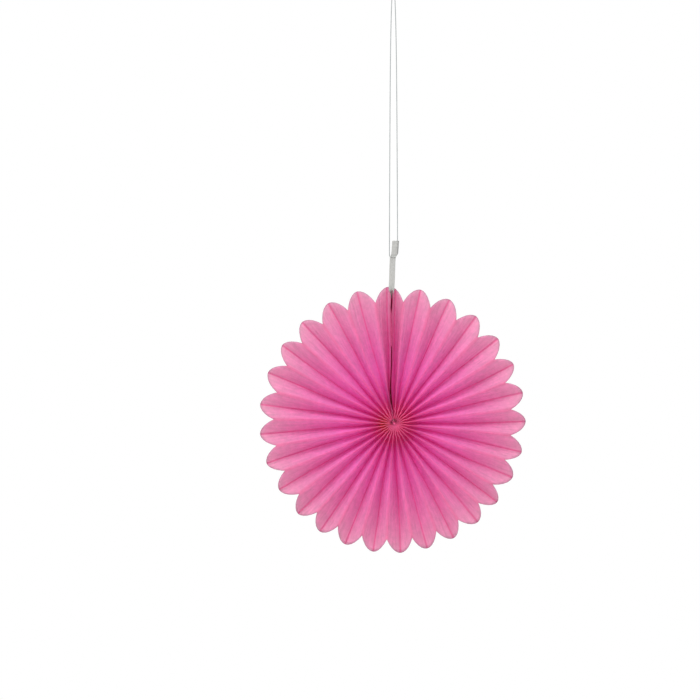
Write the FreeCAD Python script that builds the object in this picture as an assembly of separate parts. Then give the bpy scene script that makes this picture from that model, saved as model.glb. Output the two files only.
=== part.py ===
"""Hanging paper fan rosette.

One strip of tissue is folded into narrow pleats, cut to petals along one edge and gathered along the
other, then opened to a full circle. Its two end pleats are taped face to face at the top, with a white
ribbon caught between them. A fine thread is tied round the ribbon under its folded end, and its loop
goes up to whatever holds the fan.

Millimetres. The fan hangs upright: +Z up, its face towards -Y, its middle at the origin.
Angles round the fan are measured from the seam at the top, clockwise as seen from the front.
"""

import FreeCAD
import Part

import math
import os

# The folded tissue
fan_diameter = 152.4
petal_count = 28
petal_height = 8.3  # from the notch between two petals to their tips
rim_depth = 3.2  # front to back at the rim, where the pleats are opened widest
tissue = 0.08
hub_radius = 1.5  # where the gathered ends of the pleats stop
hub_pinch = 0.45  # share of the depth that the gather takes away at the hub
crowding = 0.061  # the pleats are opened wider at the top than at the bottom, by this share of the mean
slip = 0.0165  # half the angle by which the pleats opposite the seam have slipped round to the left
lag = 0.0135  # angle by which all the folds lie to the left of even places counted from the seam
trim_margin = 1.5  # folded tissue that is cut away beyond the tips
hub_drop = 2.0  # the gathered middle sits this far below the middle of the outline
hub_drift = 1.0  # and this far to the right of the seam

# The seam at the top
seam_tilt = 0.8  # degrees by which the fan hangs turned to the left
seam_foot = 2.8  # how far from the seam the folds beside it end up, were the fan endlessly wide
foot_reach = 18.0  # radius at which they are half as far
lip_depth = 5.5  # the strip along each end pleat that is pressed flat against the other
tape_drop = 14.7  # from the tips of the petals down to the tape
tape_length = 18.5
tape_inset = 0.6  # the tape is this much narrower than the strips on each side
tape_clearance = 0.02

# The glue in the gathered middle
glue_length = 6.0
glue_clearance = 0.05

# The ribbon
ribbon_width = 3.3
ribbon_thickness = 0.3
ribbon_clearance = 0.05
ribbon_hold = 14.0  # length caught in the seam, below the tips
ribbon_inset = 1.15  # the caught ribbon lies this far inside the front edges of the seam
twist_length = 5.0  # the ribbon turns to face the front just above the seam
ribbon_rise = 26.2  # from the tips of the petals to the folded end
ribbon_lean = 0.072  # sideways drift of the ribbon for each millimetre up
fold_length = 8.4  # the end that is folded over, above the tie
fold_thickness = 0.75
fold_skew = 0.6  # the two layers of the folded end lie this much out of line
fold_shift = 0.95  # the folded end stands off to the right of the ribbon below it

# The thread
thread_diameter = 0.5
thread_clearance = 0.05
knot_radius = 0.5
knot_length = 1.3
strand_lift = 3.0  # height above the tie at which the left strand runs straight
strand_inset = 0.2  # the right strand passes behind the folded end, this far in from its edge
loop_width = 3.16  # between the strands where they are hooked
loop_centre = 0.46
loop_height = 247.6  # the top of the loop's centreline, from the middle of the fan

outer_radius = fan_diameter / 2
notch_radius = outer_radius - petal_height
blank_radius = outer_radius + trim_margin
half_pitch = math.pi / petal_count
widest_pleat = blank_radius * half_pitch * (1 + crowding)
pleat_width = math.hypot(widest_pleat, rim_depth)
front_edge = -pleat_width / 2
seam_gap = ribbon_thickness + 2 * ribbon_clearance
tape_start = outer_radius - tape_drop - tape_length

# Folds are numbered from the seam: even ones are valleys that end in a petal's tip,
# odd ones are ridges that end in a notch.
fold_total = 2 * petal_count

# The pleats twist as they open, so they are made of flat facets between sections at these radii,
# which lie closer together near the hub.
station_count = 12
stations = [
    hub_radius + (blank_radius - hub_radius) * (i / (station_count - 1)) ** 1.3 for i in range(station_count)
]


def fold_angle(fold):
    """Angle of a fold at the rim: even steps, spread a little wider at the top and slipped to the left."""
    even = fold * half_pitch
    return even + crowding * math.sin(even) - slip * (1 - math.cos(even)) - lag


def bunched(angle, step, radius):
    """A fold's angle, drawn towards its even place in the gather as the radius shrinks."""
    pitch = 2 * math.pi / (fold_total + 3)
    at_hub = (step + 0.5) * pitch
    pull = (hub_radius / radius) ** 2
    return at_hub * pull + angle * (1 - pull)


def pinch(radius):
    """The gather draws the folds in towards the middle of the sheet's depth."""
    return 1 - hub_pinch * hub_radius / radius


def fold_depth(fold, radius):
    """Half the depth of the pleats at a fold: paper of one width, spread over the local pitch."""
    opening = radius * half_pitch * (1 + crowding * math.cos(fold * half_pitch))
    return 0.5 * math.sqrt(pleat_width**2 - opening**2) * pinch(radius)


def sheet_line(radius):
    """The middle of the sheet at one radius, from the right end to the left, as (arc length, depth)."""
    edge = (seam_gap + tissue) / 2 / radius
    right = []
    lip = bunched(edge, 0, radius) * radius
    right.append((lip, front_edge * pinch(radius)))
    right.append((lip, (front_edge + lip_depth) * pinch(radius)))
    valley = bunched(seam_foot / (radius + foot_reach), 1, radius) * radius
    depth = fold_depth(0, radius)
    right.append((valley, depth))
    round_trip = 2 * math.pi * radius
    left = [(round_trip - s, y) for s, y in reversed(right)]
    middle = []
    for fold in range(1, fold_total):
        s = bunched(fold_angle(fold), fold + 1, radius) * radius
        side = -1 if fold % 2 else 1
        middle.append((s, side * fold_depth(fold, radius)))
    return right + middle + left


def offset(line, distance):
    """The line moved sideways by a distance, with mitred corners."""
    normals = []
    for (s0, y0), (s1, y1) in zip(line, line[1:]):
        length = math.hypot(s1 - s0, y1 - y0)
        normals.append(((y0 - y1) / length, (s1 - s0) / length))
    moved = []
    for i, (s, y) in enumerate(line):
        before = normals[max(i - 1, 0)]
        after = normals[min(i, len(normals) - 1)]
        reach = distance / (1 + before[0] * after[0] + before[1] * after[1])
        moved.append((s + reach * (before[0] + after[0]), y + reach * (before[1] + after[1])))
    return moved


def ring_middle(radius):
    """The middle of the folds' ring at a radius: off centre at the hub, and in line again at the rim."""
    right = hub_drift * max(0.0, 1 - radius / tape_start) ** 2
    down = hub_drop * (1 - radius / outer_radius)
    return FreeCAD.Vector(right, 0, -down)


def around(radius, angle, depth):
    """A point of the fan at an angle from the seam, on the ring of one radius."""
    turned = angle - math.radians(seam_tilt)
    return ring_middle(radius) + FreeCAD.Vector(radius * math.sin(turned), depth, radius * math.cos(turned))


def rails(distance):
    """For each corner of the sheet's section, its points from the hub to the blank's edge."""
    sections = []
    for radius in stations:
        sections.append([around(radius, s / radius, y) for s, y in offset(sheet_line(radius), distance)])
    return list(zip(*sections))


def strip(first, second):
    """Flat facets between two rows of points."""
    facets = []
    for a, b, c, d in zip(first, second, second[1:], first[1:]):
        facets.append(Part.Face(Part.makePolygon([a, b, c, a])))
        facets.append(Part.Face(Part.makePolygon([a, c, d, a])))
    return facets


def pleated_sheet():
    """The folded tissue before its edge is cut."""
    front = rails(-tissue / 2)
    back = rails(tissue / 2)
    facets = strip(front[0], back[0]) + strip(front[-1], back[-1])
    for side in (front, back):
        for first, second in zip(side, side[1:]):
            facets += strip(first, second)
    for end in (0, -1):
        facets += strip([rail[end] for rail in front], [rail[end] for rail in back])
    shell = Part.Shell(facets)
    shell.sewShape()
    solid = Part.Solid(shell)
    if solid.Volume < 0:
        solid.reverse()
    return solid


def rim_point(fold, radius):
    return around(radius, fold_angle(fold), 0)


def petal_cutter():
    """The outline of all the petals, each a parabola from notch to notch, as a block through the fan."""
    arcs = []
    for petal in range(petal_count):
        start = rim_point(2 * petal - 1, notch_radius)
        end = rim_point(2 * petal + 1, notch_radius)
        tip = rim_point(2 * petal, outer_radius)
        curve = Part.BezierCurve()
        curve.setPoles([start, tip * 2 - (start + end) * 0.5, end])
        arcs.append(curve.toShape())
    depth = FreeCAD.Vector(0, 2 * pleat_width, 0)
    face = Part.Face(Part.Wire(arcs))
    face.translate(depth * -0.5)
    return face.extrude(depth)


def pleated_fan():
    """The tissue, cut to petals."""
    return pleated_sheet().common(petal_cutter())


def hub_glue():
    """The dab of glue that holds the gathered ends of the pleats."""
    back = FreeCAD.Vector(0, 1, 0)
    start = ring_middle(hub_radius) - back * (glue_length / 2)
    return Part.makeCylinder(hub_radius - glue_clearance - tissue, glue_length, start, back)


def level_section(middle, half_width, half_depth):
    """A level rectangle round a point."""
    points = []
    for a, b in ((-1, -1), (1, -1), (1, 1), (-1, 1), (-1, -1)):
        points.append(middle + FreeCAD.Vector(a * half_width, b * half_depth, 0))
    return Part.makePolygon(points)


def seam_tape():
    """The double-sided tape between the two pressed lips of the end pleats."""
    half_thickness = seam_gap / 2 - tape_clearance
    depth = front_edge + lip_depth / 2
    ends = []
    for radius in (tape_start, tape_start + tape_length):
        ends.append(level_section(around(radius, 0, depth), half_thickness, lip_depth / 2 - tape_inset))
    return Part.makeLoft(ends, True, True)


ribbon_depth = front_edge + ribbon_inset + ribbon_width / 2
ribbon_top = outer_radius + ribbon_rise
fold_bottom = ribbon_top - fold_length
tie_height = fold_bottom - knot_radius - thread_clearance
seam_low, seam_top = around(tape_start, 0, ribbon_depth), around(outer_radius, 0, ribbon_depth)
seam_slope = (seam_top.x - seam_low.x) / (seam_top.z - seam_low.z)


def ribbon_middle(height):
    """The middle of the ribbon at a height: in line with the seam, then leaning to the right above it."""
    above = height - seam_top.z
    slope = ribbon_lean if above > 0 else seam_slope
    return FreeCAD.Vector(seam_top.x + slope * above, ribbon_depth, height)


fold_middle = ribbon_middle(fold_bottom).x + fold_shift


def ribbon_section(height, turn):
    """A flat cross-section of the ribbon, turned about its own length. At 0 it faces the front."""
    middle = ribbon_middle(height)
    section = level_section(middle, ribbon_width / 2, ribbon_thickness / 2)
    section.rotate(middle, FreeCAD.Vector(0, 0, 1), turn)
    return section


def ribbon():
    """Caught edge-on in the seam, turned a quarter above it, then flat to its doubled end."""
    caught = ribbon_section(outer_radius - ribbon_hold, 90)
    edge_on = ribbon_section(outer_radius, 90)
    steps = 4
    turning = [edge_on]
    for i in range(1, steps + 1):
        share = (1 - math.cos(math.pi * i / steps)) / 2
        turning.append(ribbon_section(outer_radius + twist_length * i / steps, 90 * (1 - share)))
    top = ribbon_section(ribbon_top - fold_thickness / 2, 0)
    held = Part.makeLoft([caught, edge_on], True, True)
    twisted = Part.makeLoft(turning, True, False)
    flat = Part.makeLoft([turning[-1], top], True, True)
    width = ribbon_width + fold_skew
    corner = FreeCAD.Vector(fold_middle - width / 2, ribbon_depth - fold_thickness / 2, fold_bottom)
    doubled = Part.makeBox(width, fold_thickness, fold_length, corner)
    bends = [edge for edge in doubled.Edges if edge.BoundBox.ZMin > ribbon_top - thread_clearance]
    long_bends = [edge for edge in bends if edge.Length > fold_thickness + thread_clearance]
    doubled = doubled.makeFillet(fold_thickness * 0.45, long_bends)
    return held.fuse([twisted, flat, doubled]).removeSplitter()


def tube(points, diameter):
    """A round tube along straight runs joined by tangent arcs, each as large as its runs allow."""
    pieces = []
    at = points[0]
    radii = []
    for before, corner, after in zip(points, points[1:], points[2:]):
        inward, onward = before - corner, after - corner
        run = min(inward.Length, onward.Length)
        turn = math.pi - inward.getAngle(onward)
        radius = 0.45 * run / math.tan(turn / 2)
        radii.append(radius)
        inward.normalize()
        onward.normalize()
        start, end = corner + inward * (0.45 * run), corner + onward * (0.45 * run)
        half = inward + onward
        half.normalize()
        middle = corner + half * (radius / math.cos(turn / 2) - radius)
        pieces.append(Part.LineSegment(at, start).toShape())
        pieces.append(Part.Arc(start, middle, end).toShape())
        at = end
    pieces.append(Part.LineSegment(at, points[-1]).toShape())
    path = Part.Wire(pieces)
    direction = points[1] - points[0]
    section = Part.Wire(Part.Circle(points[0], direction, diameter / 2).toShape())
    solid = path.makePipeShell([section], True, False)
    expected = math.pi * diameter**2 / 4 * path.Length
    print(f"tube: length {path.Length:.1f}, volume ratio {solid.Volume / expected:.4f}")
    print("  radii", [round(radius, 2) for radius in radii])
    return solid


def tie_block(inset):
    """A block round the ribbon at the tie, as tall as the thread is thick."""
    half_width, half_depth = tie_reach - inset, tie_depth - inset
    corner = ribbon_middle(tie_height) - FreeCAD.Vector(half_width, half_depth, thread_diameter / 2)
    return Part.makeBox(2 * half_width, 2 * half_depth, thread_diameter, corner)


def thread_tie():
    """One turn of thread drawn tight round the ribbon under its folded end, and the knot behind it."""
    turn = tie_block(-thread_diameter / 2).cut(tie_block(thread_diameter / 2))
    level = [edge for edge in turn.Edges if edge.BoundBox.ZLength < thread_clearance]
    turn = turn.makeChamfer(thread_diameter * octagon_chamfer, level)
    behind = FreeCAD.Vector(-knot_length / 2, tie_depth + knot_radius / 2, 0)
    knot = Part.makeCylinder(knot_radius, knot_length, ribbon_middle(tie_height) + behind, FreeCAD.Vector(1, 0, 0))
    return turn.fuse(knot).removeSplitter()


octagon_chamfer = 1 - math.sqrt(0.5)
tie_depth = ribbon_thickness / 2 + thread_clearance + thread_diameter / 2
tie_reach = ribbon_width / 2 + thread_clearance + thread_diameter / 2
strand_depth = ribbon_depth + fold_thickness / 2 + thread_clearance + thread_diameter / 2


def strand_point(x, height):
    return FreeCAD.Vector(x, strand_depth, height)


def hanging_thread():
    """The two taut strands, from the tie up to the loop that is hooked over whatever holds the fan."""
    middle = ribbon_middle(tie_height).x
    bottom = tie_height + thread_diameter / 2 + thread_clearance
    beside_fold = fold_middle + (ribbon_width + fold_skew) / 2 - strand_inset
    points = [
        strand_point(middle - tie_reach, bottom),
        strand_point(middle - tie_reach - thread_clearance, bottom + strand_lift),
        strand_point(loop_centre - loop_width / 2, loop_height),
        strand_point(loop_centre + loop_width / 2, loop_height),
        strand_point(beside_fold, bottom + 2 * strand_lift),
        strand_point(beside_fold - strand_inset, bottom + strand_lift),
        strand_point(middle + tie_reach, bottom),
    ]
    return tube(points, thread_diameter)


def main():
    os.makedirs("parts", exist_ok=True)
    pieces = {
        "pleated_fan": pleated_fan(),
        "hub_glue": hub_glue(),
        "seam_tape": seam_tape(),
        "ribbon": ribbon(),
        "thread_tie": thread_tie(),
        "hanging_thread": hanging_thread(),
    }
    for name, shape in pieces.items():
        box = shape.BoundBox
        print(
            f"{name}: {len(shape.Solids)} solid, {len(shape.Faces)} faces, valid {shape.isValid()},"
            f" volume {shape.Volume:.2f}, x {box.XMin:.2f} to {box.XMax:.2f},"
            f" y {box.YMin:.2f} to {box.YMax:.2f}, z {box.ZMin:.2f} to {box.ZMax:.2f}"
        )
        shape.exportStep(f"parts/{name}.step")


main()
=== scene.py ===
"""Pink tissue fan rosette, hung by a white ribbon and a fine clear thread.

Metres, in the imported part's frame: the fan faces -Y and hangs in +Z. Sizes of paper, ribbon and thread
are given in millimetres and carried into metres where a mesh is made.
"""

import math

import bmesh
import bpy
import numpy as np
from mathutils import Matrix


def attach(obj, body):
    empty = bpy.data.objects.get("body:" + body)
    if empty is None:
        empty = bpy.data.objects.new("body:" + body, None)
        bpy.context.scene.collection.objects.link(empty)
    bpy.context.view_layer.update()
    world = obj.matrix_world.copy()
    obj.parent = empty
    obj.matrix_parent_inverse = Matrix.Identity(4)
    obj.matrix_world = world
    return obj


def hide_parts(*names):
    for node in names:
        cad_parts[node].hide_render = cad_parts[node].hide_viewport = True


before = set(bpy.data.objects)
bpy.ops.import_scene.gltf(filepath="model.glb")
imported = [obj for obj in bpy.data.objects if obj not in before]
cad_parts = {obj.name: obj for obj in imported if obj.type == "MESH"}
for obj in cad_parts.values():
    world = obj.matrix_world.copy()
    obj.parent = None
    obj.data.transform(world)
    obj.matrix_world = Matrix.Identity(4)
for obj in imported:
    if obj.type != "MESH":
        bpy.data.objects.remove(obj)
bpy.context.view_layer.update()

# The fan is one strip of thin dyed tissue, folded into narrow pleats, punched to petals along one edge
# and glued together along the other. It is opened by hand to a full circle, so its pleats are uneven,
# and its two end pleats meet at the top, taped face to face.

MM = 0.001
FULL = 2 * math.pi
OUTER, NOTCH, HUB = 76.2, 67.9, 1.5  # radii of the tips, the notches and the gathered middle
CORE = 0.8  # the innermost ends of the pleats, where their layers touch
BLANK = OUTER + 1.5  # the strip before it was punched
PETALS = 28
HALF_PITCH = math.pi / PETALS
RIM_DEPTH = 3.2  # what is left of the widest pleat's depth at the strip's edge
CROWDING, SLIP, LAG = 0.061, 0.0165, 0.0135  # wider pleats at the top, all of them slipped to the left
SEAM_TILT = math.radians(0.8)  # the fan hangs turned to the left
PINCH = 0.45  # share of their depth that the pleats lose in the gather
HUB_DROP, HUB_DRIFT = 2.0, 1.0  # the middle sits below the centre of the outline and right of the seam
TAPE_START, TAPE_END = 43.0, 61.5
LET_IN = 0.25  # how soon the lips part round the tape's ends
PLEAT = math.hypot(BLANK * HALF_PITCH * (1 + CROWDING), RIM_DEPTH)  # from fold to fold
LIP = 5.5  # pressed strip along each end pleat
FOOT, FOOT_REACH = 2.8, 18.0  # how far the valley by the seam stands off, and the radius of half of that
TISSUE = 0.08
KINK_RADIUS, KINK_SPREAD, KINK_WAVE = 6.5, 3.6, 1.85  # small kinks in the folds round the gather
BEND_WAVE, LEAN_WAVE, BULGE_WAVE = 17, 23, 19  # slow waves along the pleats
RIDGE_WORN, VALLEY_WORN, LIP_WORN = 2.9, 0.3, 0.02  # how far the rounding of a fold reaches on each side
STAIN_TURN, STAIN_RADIUS = math.radians(265), 5.5
rng = np.random.default_rng(28)

# Corners of the sheet's section, from the right end round to the left one: the front and the back of the
# pressed strip, the valley beside it, 55 folds, and the same three again in the other order.
folds = np.arange(1, 2 * PETALS)
even = folds * HALF_PITCH
fold_turn = even + CROWDING * np.sin(even) - SLIP * (1 - np.cos(even)) - LAG
fixed = np.concatenate([[0, 0, 0], fold_turn, [FULL] * 3])
edge_side = np.concatenate([[1, 0, 0], 0 * folds, [0, 0, -1]])
press_side = np.concatenate([[0, 1, 0], 0 * folds, [0, -1, 0]])
foot_side = np.concatenate([[0, 0, 1], 0 * folds, [-1, 0, 0]])
is_lip = (edge_side != 0) | (press_side != 0)
by_seam = np.where(is_lip, 1.0, 0.6 * np.abs(foot_side))  # how far a fold follows the seam's own bends
step = np.concatenate([[0, 0, 1], folds + 1, [folds.size + 2, folds.size + 3, folds.size + 3]])
at_hub = (step + 0.5) * FULL / (2 * PETALS + 3)
side = np.concatenate([[0, 0, 1], np.where(folds % 2, -1, 1), [1, 0, 0]])
opened = np.concatenate([[1 + CROWDING] * 3, 1 + CROWDING * np.cos(even), [1 + CROWDING] * 3])
corner_count = fixed.size

loose = np.where(is_lip, 0.0, 1.0)
kink_phase = 1.6 * np.sin(2 * fixed + 1) + 1.1 * np.sin(5 * fixed) + rng.normal(0, 0.45, corner_count)
kink_size = rng.uniform(0.08, 0.24, corner_count) * loose
bend_phase = rng.uniform(0, FULL, corner_count)
bend_size = rng.uniform(0.15, 0.65, corner_count) * loose
lean_size = rng.normal(0, 0.3, corner_count) * loose
bulge = rng.uniform(-0.25, 0.4, corner_count)


def hump(value, middle, width):
    """1 at the middle, falling to 0 as a bell curve of that width."""
    return np.exp(-(((value - middle) / width) ** 2))


def rise(value, low, high):
    """0 below the low end, 1 above the high one, and a smooth S between."""
    t = np.clip((value - low) / (high - low), 0, 1)
    return t * t * (3 - 2 * t)


def fold_corner(corner, radius):
    """Where a fold runs at a radius, in mm: its angle goes from its even place in the gather to its own
    angle at the rim, and its depth is half a pleat's width less what the pitch there has opened. The two
    free edges at the seam gape above the tape and below it, and their far sides close up."""
    pull = (HUB / np.maximum(radius, HUB)) ** 2
    below = (1 - rise(radius, 40, 46)) * rise(radius, 2, 7)
    above = rise(radius, 61, 65) * (1 - rise(radius, 73, 77))
    gape = 0.2 + below * (0.12 + 0.3 * hump(radius, 13, 7)) + 0.26 * above
    taped = rise(radius, TAPE_START, TAPE_START + LET_IN) * (1 - rise(radius, TAPE_END - LET_IN, TAPE_END))
    shut = 0.036 + 0.179 * taped + 0.3 * rise(radius, 69, 72)
    foot = FOOT / (radius + FOOT_REACH) * radius
    aside = edge_side[corner] * gape + press_side[corner] * shut + foot_side[corner] * foot
    aside = aside + by_seam[corner] * (0.5 * rise(radius, 62, 70) - 1.3 * hump(radius, 17, 13))
    kink = kink_size[corner] * hump(radius, KINK_RADIUS, KINK_SPREAD)
    kink = kink * np.sin(radius * KINK_WAVE + kink_phase[corner])
    bend = bend_size[corner] * np.sin(radius / BEND_WAVE + bend_phase[corner]) * rise(radius, 8, 40)
    angle = at_hub[corner] * pull + (fixed[corner] + (aside + kink + bend) / radius) * (1 - pull)

    pinch = 1 - PINCH * HUB / np.maximum(radius, HUB)
    relaxed = 1 - 0.2 * rise(radius, 7, 14) * (1 - rise(radius, 24, 50))
    half_depth = 0.5 * np.sqrt(PLEAT**2 - (radius * HALF_PITCH * opened[corner]) ** 2) * pinch * relaxed
    front = -0.5 * PLEAT * pinch
    depth = side[corner] * half_depth
    depth = depth + np.abs(edge_side[corner]) * (front + 3.2 * rise(radius, 66, 74))
    depth = depth + np.abs(press_side[corner]) * (front + LIP * pinch)
    depth = depth + lean_size[corner] * rise(radius, 6, 30) * np.cos(radius / LEAN_WAVE + bend_phase[corner])

    x = radius * np.sin(angle - SEAM_TILT) + HUB_DRIFT * np.maximum(0, 1 - radius / TAPE_START) ** 2
    z = radius * np.cos(angle - SEAM_TILT) - HUB_DROP * (1 - radius / OUTER)
    return np.stack([x, depth, z], axis=-1)


def fold_loop(radius, distance):
    """Half the width of a fold's round loop, in mm, at a distance from its tip: a circle, then a neck that
    closes again. In the gather the loops fill the pitch, and further out they shrink to a soft crease."""
    filled = 0.88 - 0.5 * rise(radius, 2.2, 6)
    wide = np.maximum(filled * 0.5 * FULL * radius / PETALS - TISSUE / 2, 0.02)
    wide = np.minimum(wide, 0.24 - 0.2 * rise(radius, 7, 14))
    way = np.clip(distance / wide, 0, 1)
    neck = hump(np.maximum(distance - wide, 0), 0, 2.2)
    return wide * np.sqrt(way * (2 - way)) * neck


# Columns of points run from the hub to the rim: close together at the folds, further apart across a pleat.
# Rows lie closer together near the hub, and there is one wherever the lips start or stop parting at the tape.
SHARES = [0, 0.005, 0.015, 0.035, 0.08, 0.2, 0.4, 0.6, 0.8, 0.92, 0.965, 0.985, 0.995]
panel = np.append(np.repeat(np.arange(corner_count - 1), len(SHARES)), corner_count - 2)
share = np.append(np.tile(SHARES, corner_count - 1), 1.0)
tape_ends = np.array([TAPE_START, TAPE_START + LET_IN, TAPE_END - LET_IN, TAPE_END])
row = np.sort(np.append(np.linspace(0, 1, 54) ** 1.7, (tape_ends - CORE) / (OUTER - CORE)))


def petal_edge():
    """The punched edge: in each petal the radius falls from the tip as the square of the way to a notch."""
    rim_angle = fixed + foot_side * FOOT / (OUTER + FOOT_REACH)
    angle = rim_angle[panel] * (1 - share) + rim_angle[panel + 1] * share
    tips = np.concatenate([[-LAG], fold_turn[1::2], [FULL - LAG]])
    notches = fold_turn[0::2]
    petal = np.searchsorted(notches, angle)
    lower = np.concatenate([[notches[-1] - FULL], notches])[petal]
    upper = np.concatenate([notches, [notches[0] + FULL]])[petal]
    tip = tips[petal]
    way = np.where(angle < tip, (tip - angle) / (tip - lower), (angle - tip) / (upper - tip))
    return OUTER - (OUTER - NOTCH) * np.clip(way, 0, 1) ** 2


def tissue_surface():
    """Each point is the straight way across a pleat between its two folds at one radius, rounded over a
    short distance on each side of a fold, and bulged a little in between."""
    rim = petal_edge()
    radius = CORE + (rim[:, None] - CORE) * row[None, :]
    column = np.broadcast_to(panel[:, None], radius.shape)
    here, there = fold_corner(column, radius), fold_corner(column + 1, radius)
    before = fold_corner(np.maximum(column - 1, 0), radius)
    after = fold_corner(np.minimum(column + 2, corner_count - 1), radius)
    along = there - here
    width = np.linalg.norm(along, axis=-1, keepdims=True)
    along = along / width
    f = share[:, None, None]

    def softness(corner):
        """How far a fold's rounding reaches on each side: the front folds are worn round."""
        ridge = 0.05 + RIDGE_WORN * rise(radius, 7, 17) * (1 - 0.45 * rise(radius, 35, 70))
        reach = np.where(side[corner] < 0, ridge, VALLEY_WORN)
        return np.where(is_lip[corner], LIP_WORN, reach)[..., None]

    def rounded(corner, this_way, other, distance, soft):
        """A corner smoothed by a sliding mean of that reach."""
        gap = np.linalg.norm(other - corner, axis=-1, keepdims=True)
        that_way = (other - corner) / np.maximum(gap, 1e-6)
        inside = (soft + distance) ** 2 * this_way + (soft - distance) ** 2 * that_way
        free = (gap < 1e-5) | (distance >= soft)
        return np.where(free, corner + this_way * distance, corner + inside / (4 * soft))

    first = rounded(here, along, before, width * f, softness(column))
    last = rounded(there, -along, after, width * (1 - f), softness(column + 1))
    place = np.where(f < 0.5, first, last)
    outward = np.cross(along, np.stack([place[..., 0], 0 * radius, place[..., 2]], axis=-1) + 1e-6)
    outward /= np.linalg.norm(outward, axis=-1, keepdims=True)
    swell = bulge[column] * np.sin(math.pi * share[:, None]) * rise(radius, 4, 30)
    swell = swell * np.sin(radius / BULGE_WAVE + bend_phase[column]) * loose[column]
    width = width[..., 0]
    from_here, from_there = width * share[:, None], width * (1 - share[:, None])
    swell = swell - side[column] * fold_loop(radius, from_here)
    swell = swell - side[column + 1] * fold_loop(radius, from_there)
    return place + outward * swell[..., None], radius, width


def grid_mesh(name, points, closed_across=False, closed_along=False):
    """A mesh of four-sided faces over a grid of points in mm. A closed direction runs back to its start."""
    columns, rows = points.shape[:2]
    index = np.arange(columns * rows).reshape(columns, rows)
    if closed_across:
        index = np.vstack([index, index[:1]])
    if closed_along:
        index = np.hstack([index, index[:, :1]])
    faces = np.stack([index[:-1, :-1], index[:-1, 1:], index[1:, 1:], index[1:, :-1]], axis=-1).reshape(-1, 4)
    mesh = bpy.data.meshes.new(name)
    mesh.vertices.add(columns * rows)
    mesh.vertices.foreach_set("co", (points * MM).ravel())
    mesh.loops.add(faces.size)
    mesh.loops.foreach_set("vertex_index", faces.ravel())
    mesh.polygons.add(len(faces))
    mesh.polygons.foreach_set("loop_start", np.arange(0, faces.size, 4))
    mesh.polygons.foreach_set("use_smooth", np.ones(len(faces), bool))
    mesh.update(calc_edges=True)
    piece = bpy.data.objects.new(name, mesh)
    bpy.context.scene.collection.objects.link(piece)
    return piece


def thicken(piece, name, thickness):
    """Gives a sheet its thickness in mm, half of it on each side."""
    wall = piece.modifiers.new(name, "SOLIDIFY")
    wall.thickness = thickness * MM
    wall.offset = 0


def store(piece, name, values):
    """One number for each point of a mesh, for its material to read."""
    attribute = piece.data.attributes.new(name, "FLOAT", "POINT")
    attribute.data.foreach_set("value", np.ascontiguousarray(values, dtype=np.float32).ravel())


def unroll(piece, across, along):
    """A UV map that gives each point its place on the flat strip, in mm."""
    flat = np.stack(np.broadcast_arrays(across, along), axis=-1).reshape(-1, 2)
    corner_point = np.zeros(len(piece.data.loops), dtype=np.int32)
    piece.data.loops.foreach_get("vertex_index", corner_point)
    layer = piece.data.uv_layers.new(name="strip")
    layer.data.foreach_set("uv", flat[corner_point].astype(np.float32).ravel())


surface, surface_radius, pleat_width = tissue_surface()
tissue = grid_mesh("tissue_fan", surface)
unroll(tissue, (panel + share)[:, None] * PLEAT, surface_radius)
store(tissue, "out", surface_radius / OUTER)
store(tissue, "to_edge", petal_edge()[:, None] - surface_radius)
from_first = share[:, None] * pleat_width
is_valley = (side[panel] > 0)[:, None]
store(tissue, "from_valley", np.where(is_valley, from_first, pleat_width - from_first))
store(tissue, "from_ridge", np.where(is_valley, pleat_width - from_first, from_first))
turned = (fixed[panel] * (1 - share) + fixed[panel + 1] * share)[:, None]
store(tissue, "stain", hump(turned, STAIN_TURN, 0.75) * hump(surface_radius, STAIN_RADIUS, 3))
# The pressed strips that form the walls of the slit at the seam, marked for their painted shade.
on_lip = (is_lip[panel] & is_lip[panel + 1])[:, None]
store(tissue, "slit_shade", np.broadcast_to(on_lip, surface_radius.shape))
thicken(tissue, "paper", TISSUE)


def material(name):
    """A new material, its nodes and links, and the Principled shader in it."""
    made = bpy.data.materials.new(name)
    made.use_nodes = True
    nodes, links = made.node_tree.nodes, made.node_tree.links
    return made, nodes, links, nodes["Principled BSDF"]


def read(nodes, name):
    """The number stored on the mesh under a name."""
    node = nodes.new("ShaderNodeAttribute")
    node.attribute_name = name
    return node.outputs["Fac"]


def srgb(red, green, blue):
    """A screen colour from 0 to 255 as the linear colour that a shader takes."""
    parts = [c / 255 for c in (red, green, blue)]
    return [c / 12.92 if c < 0.04045 else ((c + 0.055) / 1.055) ** 2.4 for c in parts] + [1.0]


def blend_colour(nodes, links, factor, first, second):
    """The first colour, turning to the second as the factor goes from 0 to 1."""
    mix = nodes.new("ShaderNodeMix")
    mix.data_type = "RGBA"
    links.new(factor, mix.inputs["Factor"])
    for socket, colour in (("A", first), ("B", second)):
        target = [i for i in mix.inputs if i.name == socket and i.type == "RGBA"][0]
        if isinstance(colour, (list, tuple)):
            target.default_value = colour
        else:
            links.new(colour, target)
    return [o for o in mix.outputs if o.type == "RGBA"][0]


def remap(nodes, links, value, low, high, first, second):
    """A value's way from the low end to the high one, smoothed, as a number from first to second."""
    node = nodes.new("ShaderNodeMapRange")
    node.interpolation_type = "SMOOTHSTEP"
    links.new(value, node.inputs["Value"])
    for socket, number in (("From Min", low), ("From Max", high), ("To Min", first), ("To Max", second)):
        node.inputs[socket].default_value = number
    return node.outputs["Result"]


def scaled(nodes, links, colour, factor):
    """A colour made darker or lighter by a number."""
    node = nodes.new("ShaderNodeVectorMath")
    node.operation = "SCALE"
    links.new(colour, node.inputs[0])
    links.new(factor, node.inputs["Scale"])
    return node.outputs["Vector"]


def product(nodes, links, first, second):
    """Two numbers multiplied."""
    node = nodes.new("ShaderNodeMath")
    node.operation = "MULTIPLY"
    links.new(first, node.inputs[0])
    links.new(second, node.inputs[1])
    return node.outputs["Value"]


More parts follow.
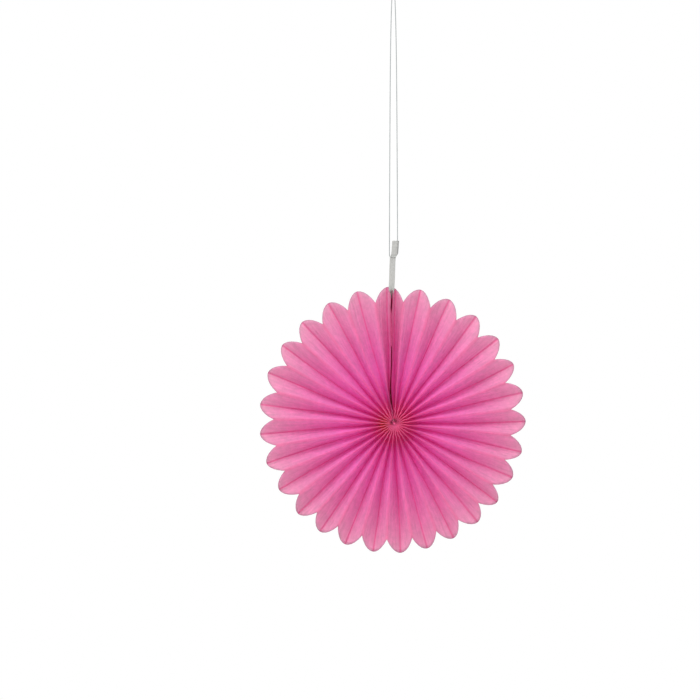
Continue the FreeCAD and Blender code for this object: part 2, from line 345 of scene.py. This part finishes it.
def fibre_group():
    """Thin paper's own texture: a cloudy mottle with fine fibres in it, as a mask from 0 to 1."""
    group = bpy.data.node_groups.new("paper_fibre", "ShaderNodeTree")
    group.interface.new_socket("Cloud Scale", in_out="INPUT", socket_type="NodeSocketFloat")
    group.interface.new_socket("Mottle", in_out="OUTPUT", socket_type="NodeSocketFloat")
    nodes, links = group.nodes, group.links
    entry, leave = nodes.new("NodeGroupInput"), nodes.new("NodeGroupOutput")
    place = nodes.new("ShaderNodeTexCoord")
    cloud, fine = nodes.new("ShaderNodeTexNoise"), nodes.new("ShaderNodeTexNoise")
    for noise, detail, distortion in ((cloud, 6, 0.4), (fine, 3, 1.5)):
        noise.inputs["Detail"].default_value = detail
        noise.inputs["Distortion"].default_value = distortion
        links.new(place.outputs["Object"], noise.inputs["Vector"])
    links.new(entry.outputs["Cloud Scale"], cloud.inputs["Scale"])
    fine.inputs["Scale"].default_value = 1500
    both = nodes.new("ShaderNodeMix")
    both.inputs["Factor"].default_value = 0.42
    links.new(cloud.outputs["Fac"], both.inputs["A"])
    links.new(fine.outputs["Fac"], both.inputs["B"])
    links.new(both.outputs["Result"], leave.inputs["Mottle"])
    return group


fibre = fibre_group()


def mottle(nodes, links, cloud_scale):
    """The paper texture's mask at a scale."""
    node = nodes.new("ShaderNodeGroup")
    node.node_tree = fibre
    node.inputs["Cloud Scale"].default_value = cloud_scale
    return node.outputs["Mottle"]


def pulled_noise(nodes, links, across, along):
    """Noise pulled out along the pleats: streaks of these sizes in mm, on the flat strip."""
    place = nodes.new("ShaderNodeUVMap")
    place.uv_map = "strip"
    size = nodes.new("ShaderNodeMapping")
    size.inputs["Scale"].default_value = (1 / across, 1 / along, 1)
    links.new(place.outputs["UV"], size.inputs["Vector"])
    noise = nodes.new("ShaderNodeTexNoise")
    noise.inputs["Scale"].default_value = 1
    noise.inputs["Detail"].default_value = 4
    links.new(size.outputs["Vector"], noise.inputs["Vector"])
    return noise.outputs["Fac"]


def tissue_paper():
    """Dyed tissue that lets light through. Its colour is painted paler towards the rim, for the light that
    comes through the single layer there, and deeper towards the gather, for the shade between the crowded
    layers. On that lie a cloudy mottle, creases pulled along the pleats, a painted shade line in each valley,
    a deeper pink over the rounded ridges, a painted highlight along each ridge near the gather, and a thin
    dusky punched edge.
    Light that comes through is deeper than light that comes back. The pressed strips at the seam, which are
    the walls of the slit, are painted dark for the shade inside the slit, and let little through."""
    made, nodes, links, shader = material("pink_tissue")
    # The pink grows paler towards the rim as painted light coming through the single layer, and deeper towards
    # the gather as painted shade between the crowded layers.
    dye_and_light_ramp = nodes.new("ShaderNodeValToRGB")
    stops = dye_and_light_ramp.color_ramp.elements
    stops[0].position, stops[0].color = 0.0, srgb(250, 92, 158)
    stops[1].position, stops[1].color = 1.0, srgb(241, 204, 221)
    for position, colour in (
        (0.05, (255, 108, 176)),
        (0.1, (255, 138, 214)),
        (0.2, (246, 130, 221)),
        (0.4, (245, 149, 224)),
        (0.65, (242, 167, 219)),
        (0.85, (241, 186, 219)),
    ):
        stops.new(position).color = srgb(*colour)
    links.new(read(nodes, "out"), dye_and_light_ramp.inputs["Fac"])
    paper = mottle(nodes, links, 420)
    colour = scaled(nodes, links, dye_and_light_ramp.outputs["Color"], remap(nodes, links, paper, 0.3, 0.7, 0.92, 1.05))
    creases = pulled_noise(nodes, links, 1.3, 16)
    colour = scaled(nodes, links, colour, remap(nodes, links, creases, 0.3, 0.7, 0.94, 1.04))
    # Painted shade: a darker line along the bottom of each valley.
    valley_shade = remap(nodes, links, read(nodes, "from_valley"), 0, 1.1, 0.55, 0)
    colour = blend_colour(nodes, links, valley_shade, colour, srgb(232, 84, 166))
    soft_ridge = remap(nodes, links, read(nodes, "from_ridge"), 0, 2.2, 1, 0)
    inwards = remap(nodes, links, read(nodes, "out"), 0.15, 0.5, 0.75, 0.3)
    colour = blend_colour(nodes, links, product(nodes, links, soft_ridge, inwards), colour, srgb(236, 86, 158))
    stained = remap(nodes, links, read(nodes, "stain"), 0, 1, 0, 0.9)
    colour = blend_colour(nodes, links, stained, colour, srgb(238, 96, 92))
    # Painted highlight: a lighter line along each ridge close to the gather.
    ridge_highlight_near_hub = remap(nodes, links, read(nodes, "out"), 0.06, 0.16, 0.7, 0.0)
    ridge = remap(nodes, links, read(nodes, "from_ridge"), 0, 0.5, 1, 0)
    colour = blend_colour(nodes, links, product(nodes, links, ridge_highlight_near_hub, ridge), colour, srgb(250, 132, 186))
    edge = remap(nodes, links, read(nodes, "to_edge"), 0.15, 0.55, 0.55, 0)
    colour = blend_colour(nodes, links, edge, colour, srgb(190, 120, 156))
    # Painted shade: the pressed strips that form the slit's walls are darkened for the shade inside the slit.
    slit_shade = read(nodes, "slit_shade")
    colour = blend_colour(nodes, links, slit_shade, colour, srgb(186, 30, 92))
    links.new(colour, shader.inputs["Base Color"])

    height = nodes.new("ShaderNodeMath")
    height.operation = "MULTIPLY_ADD"
    height.inputs[1].default_value = 2.5
    links.new(creases, height.inputs[0])
    links.new(paper, height.inputs[2])
    bump = nodes.new("ShaderNodeBump")
    bump.inputs["Strength"].default_value = 0.6
    bump.inputs["Distance"].default_value = 0.0004
    links.new(height.outputs["Value"], bump.inputs["Height"])
    links.new(bump.outputs["Normal"], shader.inputs["Normal"])
    shader.inputs["Roughness"].default_value = 0.7
    shader.inputs["Specular IOR Level"].default_value = 0.3

    through = nodes.new("ShaderNodeBsdfTranslucent")
    deeper = nodes.new("ShaderNodeVectorMath")
    deeper.operation = "MULTIPLY"
    deeper.inputs[1].default_value = (1.0, 0.5, 0.76)
    links.new(colour, deeper.inputs[0])
    links.new(deeper.outputs["Vector"], through.inputs["Color"])
    links.new(bump.outputs["Normal"], through.inputs["Normal"])
    both = nodes.new("ShaderNodeMixShader")
    # The pressed strips with their painted shade also let little light through.
    links.new(remap(nodes, links, slit_shade, 0, 1, 0.6, 0.05), both.inputs["Fac"])
    links.new(shader.outputs["BSDF"], both.inputs[1])
    links.new(through.outputs["BSDF"], both.inputs[2])
    links.new(both.outputs["Shader"], nodes["Material Output"].inputs["Surface"])
    return made


tissue.data.materials.append(tissue_paper())
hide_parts("pleated_fan")
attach(tissue, "root")

# Glue holds the gathered ends of the pleats in the middle. It has soaked into them, so it shows only as
# a small pink plug with the pleats' ends in it, between the innermost folds.

PLUG, PLUG_REACH, FLUTE = 0.98, 2.85, 0.07  # radius, half the length, and the depth of the fluting as a share


def glued_core():
    """A plug with rounded ends, fluted once for each ridge: its radius swells and shrinks 28 times round,
    and falls to nothing at the front and at the back."""
    turn = np.linspace(0, FULL, 8 * PETALS, endpoint=False)[:, None]
    way = np.linspace(-math.pi / 2, math.pi / 2, 25)[None, :]
    radius = PLUG * np.cos(way) ** 0.5 * (1 + FLUTE * np.cos(PETALS * turn) * np.cos(way))
    depth = PLUG_REACH * np.sign(way) * np.abs(np.sin(way)) ** 0.8 + 0 * turn
    middle_x = HUB_DRIFT * (1 - CORE / TAPE_START) ** 2
    middle_z = -HUB_DROP * (1 - CORE / OUTER)
    return np.stack([middle_x + radius * np.sin(turn), depth, middle_z + radius * np.cos(turn)], axis=-1)


def closed_up(piece):
    """Joins points that meet, such as those at a pole, and turns all faces outwards."""
    mesh = bmesh.new()
    mesh.from_mesh(piece.data)
    bmesh.ops.remove_doubles(mesh, verts=mesh.verts, dist=1e-7)
    bmesh.ops.recalc_face_normals(mesh, faces=mesh.faces)
    mesh.to_mesh(piece.data)
    mesh.free()


core = grid_mesh("glued_core", glued_core(), closed_across=True)
closed_up(core)


def dull_film(name, light, dark, cloud_scale, roughness):
    """Glue or tape: a film with a faintly cloudy face."""
    made, nodes, links, shader = material(name)
    tint = remap(nodes, links, mottle(nodes, links, cloud_scale), 0.3, 0.7, 0, 1)
    links.new(blend_colour(nodes, links, tint, srgb(*dark), srgb(*light)), shader.inputs["Base Color"])
    shader.inputs["Roughness"].default_value = roughness
    return made


core.data.materials.append(dull_film("soaked_glue", (232, 92, 146), (186, 36, 92), 1500, 0.7))
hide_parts("hub_glue")
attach(core, "root")

# A strip of clear double-sided tape holds the two end pleats together along the middle of the seam.
# Only its front edge shows, as a thin line that takes the paper's colour.

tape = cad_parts["seam_tape"]
tape.data.materials.clear()
tape.data.materials.append(dull_film("tape_film", (222, 92, 150), (196, 58, 122), 700, 0.6))

# The ribbon is a narrow white woven one. Its lower end is pinched in the seam, folded lengthwise like a
# gutter, it opens flat just above the petals' tips, and its upper end is doubled over behind.

RIBBON, RIBBON_THICK, RIBBON_SOLID = 3.3, 0.2, 0.3  # its width, its thickness, and that of the solid
RIBBON_DEPTH = -0.5 * PLEAT + 1.15 + RIBBON / 2
RIBBON_TOP = OUTER + 26.2
LEAN = 0.072  # to the right, as a share of the height
FOLD, FOLD_THICK = 8.4, 0.75  # the doubled end
FOLD_SKEW, FOLD_SHIFT = 0.6, 0.95  # how far its two layers lie apart, and both lie to the right
FOLD_BOTTOM = RIBBON_TOP - FOLD
FOLD_BEND = 0.25
CAUGHT, CAUGHT_DEPTH = 61.4, 3.3  # the lower end, deep in the seam, behind the pressed strips
GUTTER = math.radians(80)  # how far each half of the width turns forwards in the seam
UP_POINTS = 90  # points along the front layer


def ribbon_line(height):
    """How far the ribbon's middle is to the right at a height: it follows the seam, then leans."""
    tip = OUTER * math.cos(SEAM_TILT)
    in_seam = -(height + HUB_DROP) * OUTER * math.sin(SEAM_TILT) / (tip + HUB_DROP)
    above = -OUTER * math.sin(SEAM_TILT) + LEAN * (height - tip)
    pushed = 0.5 * rise(height, 62, 70) * (1 - rise(height, 76, 93))
    return np.where(height > tip, above, in_seam) + pushed


def ribbon_band():
    """A flat band carried along a path that runs up, over a small round bend and down again behind. In
    the seam each half of the width turns forwards about the band's middle line."""
    up = RIBBON_TOP - FOLD_BEND - CAUGHT
    over = math.pi * FOLD_BEND
    s = np.concatenate(
        [
            np.linspace(0, up, UP_POINTS),
            up + np.linspace(0.05, over, 12),
            up + over + np.linspace(0.1, FOLD - FOLD_BEND, 34),
        ]
    )
    q = np.linspace(-1, 1, 25)[:, None] * RIBBON / 2
    turn = np.clip((s - up) / FOLD_BEND, 0, math.pi)
    height = CAUGHT + np.minimum(s, up) + FOLD_BEND * np.sin(turn) - np.maximum(s - up - over, 0)
    at_head = rise(height, FOLD_BOTTOM - 1.5, FOLD_BOTTOM + 1.5)
    back = turn / math.pi

    x = ribbon_line(height) + at_head * (FOLD_SHIFT + FOLD_SKEW * (back - 0.5))
    pinched = GUTTER * (1 - rise(height, 70.5, 76.5))
    deep = (CAUGHT_DEPTH - RIBBON_DEPTH) * (1 - rise(height, 67, 76.5))
    y = RIBBON_DEPTH + deep - FOLD_BEND * np.cos(turn) * at_head
    forwards = -(np.sqrt(q**2 + 0.09) - 0.3) * np.sin(pinched)
    curl = (1 - back) * (0.1 + 0.25 * at_head) * (np.maximum(q, 0) / (RIBBON / 2)) ** 2 * rise(height, 74, 78)
    frayed = -0.22 * np.sin(turn) * (0.5 + 0.5 * np.cos(q * 4.4 + 0.6))
    sway = 0.06 * np.sin(height / 2.3) * np.sin(q) * rise(height, 78, 84)
    points = np.stack([x + q * np.cos(pinched), y + forwards + curl + sway, height + frayed + 0 * q], axis=-1)
    return points, s, q, back


band, band_length, band_side, band_back = ribbon_band()
ribbon = grid_mesh("hanging_ribbon", band)
unroll(ribbon, band_side, band_length)
# The right edge of the doubled layer that shows past the front one, marked for a painted shadow.
store(ribbon, "fold_shadow", band_back * rise(band_side, 0.4, 1.2))
thicken(ribbon, "weave", RIBBON_THICK)


def woven_ribbon():
    """Grey-white taffeta: a fine weave across the band and a soft satin gloss. Where the doubled end shows
    past the front layer, at the right, it is painted darker for the shadow that the front layer casts on it."""
    made, nodes, links, shader = material("white_ribbon")
    place = nodes.new("ShaderNodeUVMap")
    place.uv_map = "strip"
    threads = []
    for direction, scale in (("X", 0.9), ("Y", 1.1)):
        wave = nodes.new("ShaderNodeTexWave")
        wave.bands_direction = direction
        wave.inputs["Scale"].default_value = scale
        wave.inputs["Distortion"].default_value = 0.8
        links.new(place.outputs["UV"], wave.inputs["Vector"])
        threads.append(wave.outputs["Fac"])
    weave = product(nodes, links, *threads)
    cloud = mottle(nodes, links, 500)
    colour = blend_colour(nodes, links, weave, srgb(160, 160, 157), srgb(196, 196, 192))
    colour = scaled(nodes, links, colour, remap(nodes, links, cloud, 0.3, 0.7, 0.9, 1.04))
    # Painted shadow: the doubled layer's edge that shows at the right is darkened.
    fold_shadow = remap(nodes, links, read(nodes, "fold_shadow"), 0, 1, 0, 0.75)
    colour = blend_colour(nodes, links, fold_shadow, colour, srgb(112, 112, 110))
    links.new(colour, shader.inputs["Base Color"])
    bump = nodes.new("ShaderNodeBump")
    bump.inputs["Strength"].default_value = 0.5
    bump.inputs["Distance"].default_value = 0.00008
    links.new(weave, bump.inputs["Height"])
    links.new(bump.outputs["Normal"], shader.inputs["Normal"])
    shader.inputs["Roughness"].default_value = 0.5
    shader.inputs["Sheen Weight"].default_value = 0.2
    return made


ribbon.data.materials.append(woven_ribbon())
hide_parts("ribbon")
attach(ribbon, "root")

# The thread is clear nylon. One turn is drawn tight round the ribbon under its doubled end and knotted
# behind it, and its two strands go straight up to a loop that hangs over a hook.

THREAD, CLEAR, KNOT = 0.5, 0.05, 0.5  # its thickness, the gap that it keeps, and the solid knot's radius
LOOP_MIDDLE, LOOP_WIDTH, LOOP_TOP = 0.46, 3.16, 247.6
KNOT_SIZE, KNOT_LINE = 0.2, 0.2  # a third of the trefoil's reach, and the radius of its line
TIE = FOLD_BOTTOM - KNOT - CLEAR
TIE_MIDDLE = float(ribbon_line(TIE))
TIE_REACH = RIBBON / 2 + CLEAR + THREAD / 2
TIE_DEPTH = RIBBON_SOLID / 2 + CLEAR + THREAD / 2
STRAND_DEPTH = RIBBON_DEPTH + FOLD_THICK / 2 + CLEAR + THREAD / 2


def clear_nylon(name, dark, light):
    """Clear nylon line: glassy, with a grey cast and fine drawing marks along it. Over the ribbon it takes
    the ribbon's paleness."""
    made, nodes, links, shader = material(name)
    marks = nodes.new("ShaderNodeTexNoise")
    marks.inputs["Scale"].default_value = 300
    place = nodes.new("ShaderNodeTexCoord")
    links.new(place.outputs["Object"], marks.inputs["Vector"])
    colour = blend_colour(nodes, links, marks.outputs["Fac"], srgb(*dark), srgb(*light))
    links.new(colour, shader.inputs["Base Color"])
    shader.inputs["Roughness"].default_value = 0.25
    shader.inputs["IOR"].default_value = 1.5
    return made


nylon = clear_nylon("clear_nylon", (120, 126, 126), (168, 172, 172))
nylon_on_ribbon = clear_nylon("nylon_on_ribbon", (156, 158, 155), (194, 196, 192))
bottom = TIE + THREAD / 2 + CLEAR
beside_fold = float(ribbon_line(FOLD_BOTTOM)) + FOLD_SHIFT + (RIBBON + FOLD_SKEW) / 2 - 0.2
route = [
    (TIE_MIDDLE - TIE_REACH, bottom),
    (TIE_MIDDLE - TIE_REACH - CLEAR, bottom + 3.0),
    (LOOP_MIDDLE - LOOP_WIDTH / 2, LOOP_TOP),
    (LOOP_MIDDLE + LOOP_WIDTH / 2, LOOP_TOP),
    (beside_fold, bottom + 6.0),
    (beside_fold - 0.2, bottom + 3.0),
    (TIE_MIDDLE + TIE_REACH, bottom),
]
curve = bpy.data.curves.new("nylon_line", "CURVE")
curve.dimensions = "3D"
curve.bevel_depth = THREAD / 2 * MM
curve.bevel_resolution = 3
curve.use_fill_caps = True
spline = curve.splines.new("NURBS")
spline.points.add(len(route) - 1)
for point, (x, z) in zip(spline.points, route):
    point.co = (x * MM, STRAND_DEPTH * MM, z * MM, 1)
spline.order_u = 3
spline.use_endpoint_u = True
spline.resolution_u = 16
curve.materials.append(nylon)
thread = bpy.data.objects.new("nylon_thread", curve)
bpy.context.scene.collection.objects.link(thread)
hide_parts("hanging_thread")
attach(thread, "root")


def round_line(middle, radius, sides=12):
    """A round line carried along a closed path: at each point, a ring across the way ahead."""
    ahead = np.roll(middle, -1, axis=0) - np.roll(middle, 1, axis=0)
    ahead /= np.linalg.norm(ahead, axis=-1, keepdims=True)
    out = np.cross(ahead, [0.31, 0.12, 0.94])
    out /= np.linalg.norm(out, axis=-1, keepdims=True)
    up = np.cross(out, ahead)
    a = np.linspace(0, FULL, sides, endpoint=False)[:, None, None]
    return middle[None] + (out[None] * np.cos(a) + up[None] * np.sin(a)) * radius


def tie_turn():
    """A flat oval round the ribbon: a circle whose ends are squared off to the ribbon's section."""
    t = np.linspace(0, FULL, 96, endpoint=False)
    x = np.sign(np.cos(t)) * np.abs(np.cos(t)) ** 0.3 * TIE_REACH
    y = np.sign(np.sin(t)) * np.abs(np.sin(t)) ** 0.7 * TIE_DEPTH
    return np.stack([TIE_MIDDLE + x, RIBBON_DEPTH + y, TIE + 0.08 * np.cos(2 * t)], axis=-1)


def tie_knot():
    """An overhand knot: a trefoil, which goes twice round while it passes over and under three times."""
    t = np.linspace(0, FULL, 120, endpoint=False)
    x = KNOT_SIZE * (np.sin(t) + 2 * np.sin(2 * t))
    z = KNOT_SIZE * (np.cos(t) - 2 * np.cos(2 * t))
    y = RIBBON_DEPTH + TIE_DEPTH + KNOT / 2 + 0.1 + 0.24 * np.sin(3 * t)
    return np.stack([TIE_MIDDLE + x, y, TIE + z], axis=-1)


for name, path, radius in (
    ("thread_tie_turn", tie_turn(), THREAD / 2),
    ("thread_tie_knot", tie_knot(), KNOT_LINE),
):
    piece = grid_mesh(name, round_line(path, radius), closed_across=True, closed_along=True)
    closed_up(piece)
    piece.data.materials.append(nylon_on_ribbon)
    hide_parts("thread_tie")
    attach(piece, "root")

# A plain pale studio: a round pale floor well below the fan, white air round it, a large soft lamp high in
# front, weaker ones beside the camera and behind, and a camera level with the fan, square to it.

scene = bpy.context.scene
FLOOR, FLOOR_RADIUS = -0.3, 1.05
PHOTO_WIDTH = 0.4  # width of the photographed field at the fan
CAMERA_DISTANCE = 1.6
AIR_LIGHT = 0.55  # how strongly the white air lights the fan


def round_floor():
    """A disc: rings of points round the middle, out to the edge."""
    turn = np.linspace(0, FULL, 96, endpoint=False)[:, None]
    out = np.linspace(0, FLOOR_RADIUS, 12)[None, :]
    return np.stack([out * np.sin(turn), out * np.cos(turn), FLOOR + 0 * out * turn], axis=-1) / MM


floor = grid_mesh("studio_floor", round_floor(), closed_across=True)
closed_up(floor)
paint, nodes, links, shader = material("studio_white")
shade = remap(nodes, links, mottle(nodes, links, 2), 0.3, 0.7, 0, 1)
pale = blend_colour(nodes, links, shade, srgb(226, 226, 226), srgb(232, 232, 232))
links.new(pale, shader.inputs["Base Color"])
shader.inputs["Roughness"].default_value = 0.9
floor.data.materials.append(paint)

world = bpy.data.worlds.new("studio_air")
scene.world = world
world.use_nodes = True
nodes, links = world.node_tree.nodes, world.node_tree.links
air = nodes["Background"]
air.inputs["Color"].default_value = (1, 1, 1, 1)
ray = nodes.new("ShaderNodeLightPath")
seen = nodes.new("ShaderNodeMath")
seen.operation = "MAXIMUM"
links.new(ray.outputs["Is Camera Ray"], seen.inputs[0])
links.new(ray.outputs["Is Glossy Ray"], seen.inputs[1])
links.new(remap(nodes, links, seen.outputs["Value"], 0, 1, AIR_LIGHT, 1), air.inputs["Strength"])


def lamp(name, place, size, power):
    """A square soft lamp that faces the fan."""
    light = bpy.data.lights.new(name, "AREA")
    light.shape = "SQUARE"
    light.size = size
    light.energy = power
    holder = bpy.data.objects.new(name, light)
    scene.collection.objects.link(holder)
    x, y, z = place
    holder.location = place
    holder.rotation_euler = (math.pi / 2 - math.atan2(z, math.hypot(x, y)), 0, math.atan2(x, -y))


lamp("key_lamp", (-0.3, -0.75, 1.3), 0.8, 17)
lamp("front_lamp", (0.1, -1.7, 0.15), 0.7, 8.4)
lamp("back_lamp", (0.4, 1.6, 0.6), 0.9, 11.5)

camera_data = bpy.data.cameras.new("camera")
camera_data.sensor_width = 36
camera_data.lens = camera_data.sensor_width * CAMERA_DISTANCE / PHOTO_WIDTH
camera = bpy.data.objects.new("camera", camera_data)
camera.location = (-0.0243, -CAMERA_DISTANCE, 0.04)
camera.rotation_euler = (math.pi / 2, 0, 0)
scene.collection.objects.link(camera)
scene.camera = camera
scene.view_settings.view_transform = "Standard"
